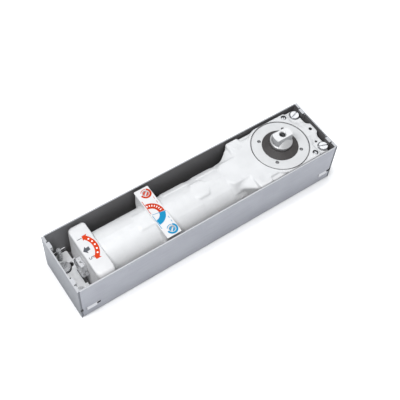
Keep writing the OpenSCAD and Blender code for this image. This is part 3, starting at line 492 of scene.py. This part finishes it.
def cut(made, *tools):
    """Cuts other solids out of an object, and removes them."""
    for tool in tools:
        knife = made.modifiers.new("cut", "BOOLEAN")
        knife.operation = "DIFFERENCE"
        knife.solver = "MANIFOLD"
        knife.object = tool
        settle(made)
        bpy.data.objects.remove(tool)


def finish_piece(made, material):
    """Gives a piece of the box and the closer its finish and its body."""
    made.data.materials.clear()
    made.data.materials.append(material)
    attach(made, root_body)


def stand_in(made, node, material, sharp):
    """Lets an object take the place of a CAD node."""
    shade_smooth(made, sharp)
    finish_piece(made, material)
    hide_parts(node)


def tube_top(y, base=axis_z):
    """Height of the cylinder's skin beside its crest: the base plus the circle's height there."""
    return base + (tube_r ** 2 - y ** 2) ** 0.5


def scoop():
    """The hollow that blends the neck into an ear.

    Its rim widens from 20 to 33.2 mm off the middle plane. From 12 mm out to the rim its face
    falls by 3.5 mm at the ear and 6.9 mm at the neck's front, with the 1.6th power of the way."""
    x, out = np.meshgrid(np.linspace(-77, -52, 26), np.linspace(0, 1, 20), indexing="ij")
    rim_y = np.interp(x, (-77, -71, -67, -62.5, -57, -53, -52),
                      (20, 21.8, 23.4, 26.4, 30.8, 33.2, 33.2))
    away = np.clip((-53 - x) / 24, 0, 1)
    top = 56.8 - 1.2 * away - out ** 1.6 * (3.5 + 3.4 * away)
    return mound(x, 12 + out * (rim_y - 12), top, 34)


def neck():
    """The flat neck that joins the head to the cylinder.

    Its top is the deck inside a rounded rectangle, falls by 1.3 times the distance outside it,
    and never lies below the cylinder's skin."""
    x, y = np.meshgrid(np.linspace(-92, -52, 36), np.linspace(-23, 23, 42), indexing="ij")
    outside = np.maximum(0, np.hypot(np.maximum(0, -72.5 - x), np.maximum(0, abs(y) - 8)) - 7)
    return mound(x, y, np.maximum(tube_top(y), deck - 1.3 * outside), 38)


def ledge(x, half_x, half_y, lift, narrow):
    """A low ledge on the crown that follows the cylinder and is cut off flat at the rib's height.

    From 58 % of the way to its ends its width shrinks evenly, by the share given as narrow."""
    along, out = np.meshgrid(np.linspace(-1, 1, 25), np.linspace(-1, 1, 25), indexing="ij")
    width = out * half_y * (1 - narrow * np.clip(abs(along) * 2.4 - 1.4, 0, 1))
    top = np.minimum(rib_top, tube_top(out * half_y, axis_z + lift))
    return mound(along * half_x + x, width, top, 48)


def flank(low, high, out):
    """A raised skin on the cylinder's side, from 12 to 58 degrees above its axis."""
    outside = arc(0, axis_z, out, np.linspace(12, 58, 12))
    return lying(prism(np.vstack((outside, ((12, 50), (20, 34)))), low, high))


def hole(x, y, *rows):
    """An upright drilled hole, opened by rows of (radius, height) from its floor to its mouth."""
    return lathe(rows, (x, y, 0), sides=48)


neck_plate = rounded(-79.5, 0, -15, 15, 7)
ear_plate = rounded(-54, -36, -deck_half, deck_half, 2.5)
lug_plate = rounded(0, 32.5, -deck_half, deck_half, 2)
ear_shelf = rounded(-53, 20, -shelf_half, shelf_half, 4)
lug_shelf = rounded(21, 46.9, -shelf_half, shelf_half, 4)
lug_tongue = rounded(24.5, 50.5, -7.5, 7.5, 1.5)
ear_notch = [(-37, -29.5), (-27, -29.5), (-23.5, -28), (-21, -24.5),
             (-21, 24.5), (-23.5, 28), (-27, 29.5), (-37, 29.5)]
head_round = arc(0, 0, 38, np.concatenate((np.linspace(-69, 69, 24), np.linspace(111, 249, 24))))
head_round[:, 1] = head_round[:, 1].clip(-deck_half, deck_half)
lug_round = [(31, -20), (39, -14.5), (44, -12.6), (46.6, -11), (48.4, -9), (49.2, -7),
             (49.2, 7), (48.4, 9), (46.6, 11), (44, 12.6), (39, 14.5), (31, 20)]
crown_rib = [(-240.6, -rib_half), (-176, -rib_half), (-176, rib_half), (-240.6, rib_half)]
crown_tip = [(-160, -rib_half), (-148, -rib_half), (-144.6, 0), (-148, rib_half),
             (-160, rib_half)]
crown_arrow = [(-133, -rib_half), (-95, -rib_half), (-94, -1), (-80, -1), (-80, 1), (-94, 1),
               (-95, rib_half), (-133, rib_half)]
block_side = [(-32.2, 38), (-28.2, 22), (-12, 6.5), (12, 6.5), (28.2, 22), (32.2, 38),
              (32.2, deck), (-32.2, deck)]
level_boss = arc(level_x, level_y, 5.5, np.linspace(0, 360, 32)[:-1])
skins = [
    lathe([(tube_r, tube_end), (tube_r, -20)], (0, 0, axis_z), "x"),
    lathe([(spigot_r, spigot_end), (spigot_r, -200)], (0, 0, axis_z), "x"),
    lathe([(33, 2.5), (33, 50)]),
    prism(neck_plate, shelf_low, deck),
    prism(ear_plate, shelf_low, deck),
    prism(ear_notch, shelf_low, deck),
    prism(head_round, shelf_low, deck),
    prism(lug_plate, shelf_low, deck),
    prism(ear_shelf, shelf_low, 55.0),
    prism(lug_shelf, lug_low, 55.5),
    neck(),
    prism(lug_tongue, lug_low, deck),
    prism(lug_round, lug_low, 56.4),
    prism(crown_rib, 50, rib_top),
    ledge(-185, 9, 10.5, lift=0.9, narrow=0),
    prism(crown_tip, 50, rib_top),
    ledge(-113, 10.8, 10.8, lift=1.5, narrow=0.55),
    prism(crown_arrow, 50, rib_top),
    lying(prism(block_side, -177, -159.6))]
for low, high in ((-151, -119), (-108, -82)):
    skins += [flank(low, high, 28.3), mirrored(flank(low, high, 27.9))]
for side_part in (scoop(), prism(level_boss, 37.5, 56.5),
                  lathe([(mark_r, 24.0), (mark_r, 27.6)], (mark_x, 25.0, 12.5))):
    skins += [side_part, mirrored(side_part)]

body = solid("closer_casting", skins, sharp=None)
as_cast(body, grain=0.0008, rounds=14, most=170000)
drillings = [hole(stud_x, 0, (2.1, 40), (2.1, 60)),
             hole(gauge_x, gauge_y, (1.5, 50.5), (1.5, 60))]
for side in (-1, 1):
    drillings += [
        hole(clamp_x, side * clamp_y, (3.6, 40), (3.6, 50.5), (6.8, 50.5), (6.8, 60)),
        hole(level_x, side * level_y, (2.54, 30), (2.54, 54.5), (3.4, 54.5), (3.4, 60)),
        hole(pad_x, side * pad_y, (5.7, 57.15), (6.9, 57.52), (6.9, 60)),
        hole(valve_x, side * valve_y, (2.94, 34), (2.94, 52.1), (3.64, 52.1), (3.64, 60))]
cut(body,
    solid("cover_seat", [lathe([(12, 6), (12, 9.2), (24, 9.2), (24, 50.8), (33.44, 50.8),
                                (33.44, 54), (34.8, 54), (34.8, 60)])]),
    solid("cylinder_bore", [lathe([(bore_r, -260), (bore_r, -15)], (0, 0, axis_z), "x")]),
    solid("drilled_holes", drillings))
# Its lift paints light on the sides below the deck.
casting = casting_finish("casting_lacquer", (0.56, 0.565, 0.572), (0.60, 0.605, 0.612),
                         edge=0.0007, lift=1.2)
stand_in(body, "closer_body", casting, sharp=38)
dress(casting, "closer_body")


# The end cap: a smaller casting of the same iron and lacquer, with its edges rounded by the mould.
# It is pushed over the cylinder's end, held by a lock screw, and bored for the adjusting screw.
def rounding(distance, radius):
    """How far a rounded edge stands back at a distance behind the face it ends in."""
    short = np.clip(radius - distance, 0, radius)
    return radius - (radius ** 2 - short ** 2) ** 0.5


def cap_sections():
    """Cross sections of the cap from its spring end to the cylinder.

    Each is a rectangle with rounded corners, smaller near the two faces: top and bottom stand
    back by quarter rounds of 2 and 1.2 mm, and the sides by quarter rounds of 6.2 and 3 mm."""
    half_width, low, high, corner = 35.0, 2.5, 57.5, 6.0
    sections = []
    for distance in (0, 0.08, 0.3, 0.7, 1.3, 2.0, 3.2, 4.6, 6.2,
                     17.6, 18.8, 19.6, 20.2, 20.5, 20.7):
        behind = tube_end - cap_end - distance
        edge = max(rounding(distance, 2.0), rounding(behind, 1.2))
        half = half_width - max(edge, rounding(distance, 6.2), rounding(behind, 3.0))
        outline = rounded(-half, half, low + edge, high - edge, corner - edge, 8)
        sections.append(np.column_stack((np.full(len(outline), cap_end + distance), outline)))
    return np.array(sections)


tongue_y = 19
screw_x, lock_x = -257, -244.65
cap = solid("end_cap_casting", [loft(cap_sections())])
cut(cap,
    solid("cap_bores", [
        lathe([(spigot_r, spigot_end), (spigot_r, -239), (bore_r, -239), (bore_r, spigot_end)],
              (0, 0, axis_z), "x", hoop=True),
        lathe([(8, -262), (8, -239.5)], (0, 0, axis_z), "x"),
        hole(lock_x, 0, (2.54, 0), (2.54, 7))]),
    solid("cap_holes", [prism(rounded(-262, -253, y - 5, y + 5, 0.3), 8, 11)
                        for y in (-tongue_y, tongue_y)]),
    solid("cap_screw_holes", [hole(screw_x, y, (4.54, 1), (4.54, 4.9), (2.54, 4.9), (2.54, 16))
                              for y in (-tongue_y, tongue_y)]))
# Its lift paints light on the sides below the deck.
cap_lacquer = casting_finish("cap_lacquer", (0.54, 0.541, 0.548), (0.58, 0.581, 0.588),
                             edge=0.0005, lift=1.3)
stand_in(cap, "spring_end_cap", cap_lacquer, sharp=35)
dress(cap_lacquer, "spring_end_cap")


# The bearing cover: a turned disc screwed into the head, its face left with fine turning rings
# under the same lacquer, and four blind holes for the pin spanner.
def turned_finish(name, colour, metal, rough, pitch, depth, edge):
    """A face turned on a lathe: rings one feed apart about the Z axis.

    The floors of the pin spanner's holes and the cover's thread are painted darker, as shade."""
    f = Finish(name)
    z, radius = f.part(2), f.radius()
    ring = (radius * (math.tau / pitch)).math("SINE")
    speck = f.noise(600, 2)
    dull = f.noise(90, 3)
    pin_off, pin_r = 0.0175, 0.00235
    dx, dy = abs(f.part(0)) - pin_off, abs(f.part(1)) - pin_off
    pin_hole = (dx * dx + dy * dy < pin_r ** 2) * (z < 0.0569)
    thread = (radius > 0.0333) * (z < 0.0567)
    face = f.mix(f.between(dull, 0.3, 0.7), tuple(c * 0.95 for c in colour), colour)
    # Painted shade: the spanner's holes and the thread are a darker grey.
    return f.shade(
        Base_Color=f.mix((pin_hole + thread).math("MINIMUM", 1.0), face, (0.30, 0.30, 0.31)),
        Metallic=metal,
        Roughness=rough + 0.1 * dull,
        Normal=f.relief(ring * 0.5 + speck * 0.6, depth, edge=edge))


dress(turned_finish("cover_lacquer", (0.575, 0.58, 0.585), metal=0.0, rough=0.45,
                    pitch=0.0007, depth=0.00006, edge=0.0004), "bearing_cover")


# The shaft seal: a moulded rubber ring that closes the gap between the cover and the spindle.
# It is pressed into the cover's bore, and its lip runs on the spindle.
def rubber_finish(name, colour):
    """Moulded rubber: near-black, dull, with a dusty bloom."""
    f = Finish(name)
    bloom = f.between(f.noise(160, 4), 0.35, 0.75)
    return f.shade(
        Base_Color=f.mix(bloom, colour, tuple(c * 1.4 for c in colour)),
        Roughness=0.55 + 0.15 * bloom,
        Specular_IOR_Level=0.3,
        Normal=f.relief(f.noise(1200, 2), 0.00003, edge=0.0003))


dress(rubber_finish("seal_rubber", (0.036, 0.033, 0.033)), "shaft_seal")


# The spindle: hardened steel, turned all over, with two flats milled at a taper for the door's
# strap and a threaded hole in its end for the strap's screw.
dress(turned_finish("spindle_steel", (0.47, 0.475, 0.485), metal=0.9, rough=0.28,
                    pitch=0.0009, depth=0.000012, edge=0.0003), "spindle")


# The zinc-plated fittings: two pairs of slotted hold-down screws, one pair with washers, two pairs
# of slotted levelling screws, the adjusting screw's hexagon with its pin, and the bracket.
# The screws are turned and their threads rolled, and the bracket is blanked from 3 mm sheet.
def plated_finish(name, colour, rough, edge=0.00025, grain=0.00002, metal=1.0):
    """Plated or machined metal: its colour with a cloudy dullness and a fine grain."""
    f = Finish(name)
    cloud = f.noise(220, 4)
    return f.shade(
        Base_Color=f.mix(f.between(cloud, 0.3, 0.7), tuple(c * 0.8 for c in colour), colour),
        Metallic=metal,
        Roughness=rough + 0.16 * cloud,
        Normal=f.relief(f.noise(1500, 2), grain, edge=edge))


bright_zinc = plated_finish("screw_zinc", (0.60, 0.61, 0.63), rough=0.2, edge=0.0002,
                            grain=0.000004, metal=0.5)


def slotted_screws(node, pitch, head_h, turn, shank=None):
    """A pair of screws: a rolled thread, and a slotted head or a slotted end.

    Along the thread the radius falls from the crest by the distance to the nearest crest of a
    helix of one pitch, times 1.1. A head is a plain disc with a chamfer of 0.35 mm, and an end
    without a head is chamfered by 0.5 mm."""
    sides, chamfer, end_chamfer = 28, 0.35, 0.5
    half_slot, slot_depth = 0.8, 1.8
    low, high = (corner * 1000 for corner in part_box(node))
    outer = (high.x - low.x) / 2
    core = shank or outer
    middle = (high.x + low.x) / 2
    turns = np.linspace(0, 1, sides, endpoint=False)
    heights = np.arange(low.z + 0.9, high.z - head_h, pitch / 6)
    climb = (heights[:, None] / pitch - turns[None, :]) % 1.0
    thread = core - 1.1 * pitch * np.minimum(climb, 1 - climb)
    start = np.full((1, sides), core - 0.75 * pitch)
    if shank:
        top = [high.z - head_h, high.z - head_h, high.z - chamfer, high.z]
        rims = [core, outer, outer, outer - chamfer]
    else:
        top, rims = [high.z - head_h, high.z], [core, core - end_chamfer]
    radii = np.vstack((start, thread, np.repeat(np.array(rims)[:, None], sides, 1)))
    levels = np.repeat(np.array([low.z, *heights, *top])[:, None], sides, 1)
    angle = turns * math.tau
    rings = np.stack((radii * np.cos(angle), radii * np.sin(angle), levels), 2)
    both_y = (low.y + outer, high.y - outer)
    made = solid(node + "_threaded", [loft(rings + (middle, y, 0)) for y in both_y])
    reach = outer + 1
    slot = np.array(((-reach, -half_slot), (reach, -half_slot), (reach, half_slot),
                     (-reach, half_slot)))
    slots = []
    for y, lean_to in zip(both_y, (-turn, turn)):
        c, n = math.cos(math.radians(lean_to)), math.sin(math.radians(lean_to))
        slots.append(prism(slot @ np.array(((c, n), (-n, c))) + (middle, y),
                           high.z - slot_depth, high.z + 2))
    cut(made, solid(node + "_slots", slots))
    stand_in(made, node, bright_zinc, sharp=30)


dress(bright_zinc, "clamp_screws", "head_levelling_screws", "keyhole_screws",
      "bracket_levelling_screws", "adjuster_hex")
dress(plated_finish("zinc_plate", (0.33, 0.335, 0.35), rough=0.16),
      "clamp_washers", "adjuster_pin", "cam_key")
dress(sheet_finish("bracket_sheet", (0.86, 0.87, 0.89), (0.93, 0.94, 0.95), metal=0.35),
      "mounting_bracket")
slotted_screws("clamp_screws", pitch=1.0, head_h=5.0, turn=20, shank=3.0)
slotted_screws("keyhole_screws", pitch=1.0, head_h=3.6, turn=35, shank=3.0)
slotted_screws("head_levelling_screws", pitch=0.8, head_h=0.5, turn=60)
slotted_screws("bracket_levelling_screws", pitch=0.8, head_h=0.5, turn=20)


# The hidden steel, bronze and rubber: posts and bosses of the box, the cam, its roller with pin
# and bush, the piston, the bearings, the adjusting screw and its seat, and all the O-rings.
# Steel parts are turned and hardened, the piston and seat are machined from cast iron.
floor_steel = plated_finish("floor_steel", (0.28, 0.285, 0.3), rough=0.35)
dress(floor_steel, "clamp_posts", "keyhole_bosses", "bracket_screws", "cap_lock_screw",
      "check_valve_retainer", "adjusting_screw", "cam_disc", "closing_spring")
dress(rubber_finish("ring_rubber", (0.02, 0.02, 0.02)),
      "cover_o_ring", "adjuster_o_ring", "cap_o_ring", "valve_o_rings")
dress(plated_finish("bearing_steel", (0.6, 0.61, 0.63), rough=0.15),
      "upper_needle_bearing", "lower_needle_bearing", "roller_pin", "cam_roller",
      "check_valve_ball")
dress(plated_finish("bush_bronze", (0.6, 0.4, 0.18), rough=0.3), "thrust_washer", "roller_bush")
dress(plated_finish("piston_iron", (0.3, 0.3, 0.31), rough=0.4),
      "piston", "piston_ring", "spring_seat")


# The closing spring: round wire wound over 19 turns, hidden in the cylinder between the piston and
# the seat. It is shown as two halves.
def coil(name, first, last):
    """Part of a helix of round wire, from a first to a last share of its length.

    The wire's centre runs along X and round the cylinder's axis, and each ring of the wire's
    skin stands square to that path."""
    low, high = (corner * 1000 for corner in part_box("closing_spring"))
    wire, turns = 2.9, 19
    mean = (high.y - low.y) / 2 - wire
    span = high.x - low.x - 2 * wire
    share = np.linspace(first, last, int(34 * turns * abs(last - first)))
    sweep = share * turns * math.tau
    centre = np.stack((low.x + wire + span * share,
                       mean * np.cos(sweep), axis_z + mean * np.sin(sweep)), 1)
    outward = np.stack((0 * sweep, np.cos(sweep), np.sin(sweep)), 1)
    along = np.stack((np.full(len(sweep), span / (turns * math.tau)), -mean * np.sin(sweep),
                      mean * np.cos(sweep)), 1)
    along /= np.linalg.norm(along, axis=1)[:, None]
    sideways = np.cross(along, outward)
    around = np.linspace(math.tau, 0, 10, endpoint=False)
    rings = (centre[:, None] + wire * (np.cos(around)[None, :, None] * outward[:, None]
                                       + np.sin(around)[None, :, None] * sideways[:, None]))
    made = solid(name, [loft(rings)], sharp=None)
    stand_in(made, "closing_spring", floor_steel, sharp=60)
    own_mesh(made)


coil("spring_far_half", 0.0, 0.5)
coil("spring_near_half", 0.5, 1.0)


# The label plate over the two valves: white moulded plastic laid on the valve block, and
# screen-printed with plain red and blue marks, one scale for closing and one for latching.
def ink_finish(name, colour):
    """Screen-printing ink: a flat colour with a faint unevenness of its film."""
    f = Finish(name)
    film = f.noise(500, 2)
    return f.shade(
        Base_Color=f.mix(film, tuple(c * 0.92 for c in colour), colour),
        Roughness=0.5 + 0.1 * film,
        Specular_IOR_Level=0.15,
        Normal=f.relief(film, 0.00001))


def band(centre, inner, outer, first, last, steps=24):
    """Flat piece of a ring between two radii, from a first to a last angle in degrees."""
    degrees = np.linspace(first, last, steps + 1)
    k = np.arange(steps)
    over = k + steps + 1
    return (np.vstack((arc(*centre, inner, degrees), arc(*centre, outer, degrees))),
            [np.stack((over, over + 1, k + 1, k), 1)])


def patch(*corners):
    """Flat piece with straight sides, its corners in order."""
    return np.array(corners, float), [np.arange(len(corners))[None]]


def bar(x0, x1, y0, y1):
    """Flat rectangle."""
    return patch((x0, y0), (x1, y0), (x1, y1), (x0, y1))


def valve_rings(y):
    """A broad and a thin piece of a ring round the valve at y."""
    return [band((valve_x, y), 4.3, 6.6, -174, 57), band((valve_x, y), 4.9, 5.7, 62, 150)]


def printed(name, height, pieces, ink):
    """Flat pieces of ink that lie on a face at one height."""
    made = solid(name, [(np.column_stack((points, np.full(len(points), height))), faces)
                        for points, faces in pieces], sharp=None)
    finish_piece(made, ink)


dress(casting_finish("label_plastic", (0.57, 0.57, 0.575), (0.60, 0.60, 0.605), edge=0.0003),
      "valve_label_plate")
red_paint, blue_paint = (0.45, 0.034, 0.004), (0.003, 0.21, 0.40)
label_red = ink_finish("label_red", red_paint)
blue_ink = ink_finish("blue_ink", blue_paint)
white_ink = ink_finish("white_ink", (0.86, 0.86, 0.87))
lines_z, scales_z, ticks_z = 58.515, 58.53, 58.56
hub = (-175.6, -0.8)
printed("red_scale_print", scales_z, [band(hub, 8.2, 15.0, -8, 88)] + valve_rings(valve_y),
        label_red)
printed("blue_scale_print", scales_z, [band(hub, 8.2, 15.0, -88, -10)] + valve_rings(-valve_y),
        blue_ink)
printed("red_line_print", lines_z, [
    bar(-176.2, -175.5, 0.5, 19.5),
    bar(-162.0, -161.4, 15.4, 18.6),
    bar(-162.0, -161.4, 9.4, 12.4)], label_red)
printed("blue_line_print", lines_z, [
    bar(-176.2, -175.5, -21, -2),
    patch((-175.4, -1.1), (-159.6, -4.1), (-159.6, -3.5), (-175.4, -0.5)),
    bar(-162.0, -161.4, -13.9, -10.9),
    bar(-162.0, -161.4, -19.2, -16.4)], blue_ink)
printed("white_tick_print", ticks_z, [band(hub, 10.8, 12.9, a, a + 4.5, 2)
                                      for a in range(4, 84, 13)], white_ink)


# The two regulating valves: small slotted steel needles, turned and threaded, that stand in the
# valve block with their heads just under the label. One head is painted red and one blue.
def valve_finish(name, paint, y):
    """Head of a valve: its face is painted, and the slot keeps the white of the primer."""
    f = Finish(name)
    steel, primer = (0.45, 0.46, 0.48), (0.66, 0.66, 0.67)
    face = f.near(valve_x, y, 3.3) * (f.part(2) > 0.05)
    along_slot = f.part(0) - f.part(1) - (valve_x - y) * 0.001
    slot = (abs(along_slot) < 0.0012) * face
    film = f.noise(500, 2)
    painted = f.mix(film, tuple(c * 0.92 for c in paint), paint)
    return f.shade(
        Base_Color=f.mix(face, steel, f.mix(slot, painted, primer)),
        Metallic=0.9 * (1 - face),
        Roughness=0.35 + 0.1 * film,
        Normal=f.relief(film, 0.00001, edge=0.0002))


dress(valve_finish("closing_valve_paint", red_paint, valve_y), "closing_speed_valve")
dress(valve_finish("latching_valve_paint", blue_paint, -valve_y), "latching_valve")


# The end cap carries the scale of the closing force: a red arrow bent along an arc with five
# marks, a small grey arrow over the hexagon, and a plain number at each end, all screen-printed.
red_ink = ink_finish("red_ink", (0.51, 0.038, 0.004))
grey_ink = ink_finish("grey_ink", (0.075, 0.08, 0.09))
cap_print_z, cap_mark_z = 57.53, 57.56
pivot = (-264.2, 1.5)


def number(name, text, x, y):
    """A printed number that reads from the spring end, drawn as text and made a flat mesh."""
    curve = bpy.data.curves.new(name, "FONT")
    curve.body = text
    curve.size = 0.0078
    curve.align_x = "CENTER"
    curve.align_y = "CENTER"
    drawn = bpy.data.objects.new(name, curve)
    scene.collection.objects.link(drawn)
    bpy.context.view_layer.update()
    mesh = bpy.data.meshes.new_from_object(
        drawn.evaluated_get(bpy.context.evaluated_depsgraph_get()))
    bpy.data.objects.remove(drawn)
    mesh.transform(Matrix.Translation((x * 0.001, y * 0.001, cap_print_z * 0.001))
                   @ Matrix.Rotation(math.radians(-90), 4, "Z"))
    made = bpy.data.objects.new(name, mesh)
    scene.collection.objects.link(made)
    finish_piece(made, grey_ink)


def polar(radius, degrees):
    """A point on a circle round the centre of the arrow's arc."""
    return arc(*pivot, radius, degrees)


printed("force_arrow_print", cap_print_z, [
    band(pivot, 17.0, 22.2, -41, 41),
    patch(polar(15.2, 41), polar(24.6, 41), polar(20.2, 52)),
    patch(polar(24.6, -41), polar(15.2, -41), polar(20.2, -52))], red_ink)
printed("force_mark_print", cap_mark_z, [
    band(polar(19.6, a), 0, 0.95, 0, 360, 12) for a in (-29, -14, 1, 15, 29)],
    white_ink)
printed("hex_arrow_print", cap_print_z, [
    patch((-259.4, 0.3), (-255.3, -4.0), (-255.3, -1.6), (-251.5, -1.0), (-251.5, 3.4),
          (-255.3, 2.8), (-255.3, 5.2))], grey_ink)
number("low_number_print", "1", -255.6, 15.6)
number("high_number_print", "5", -255.8, -10.4)
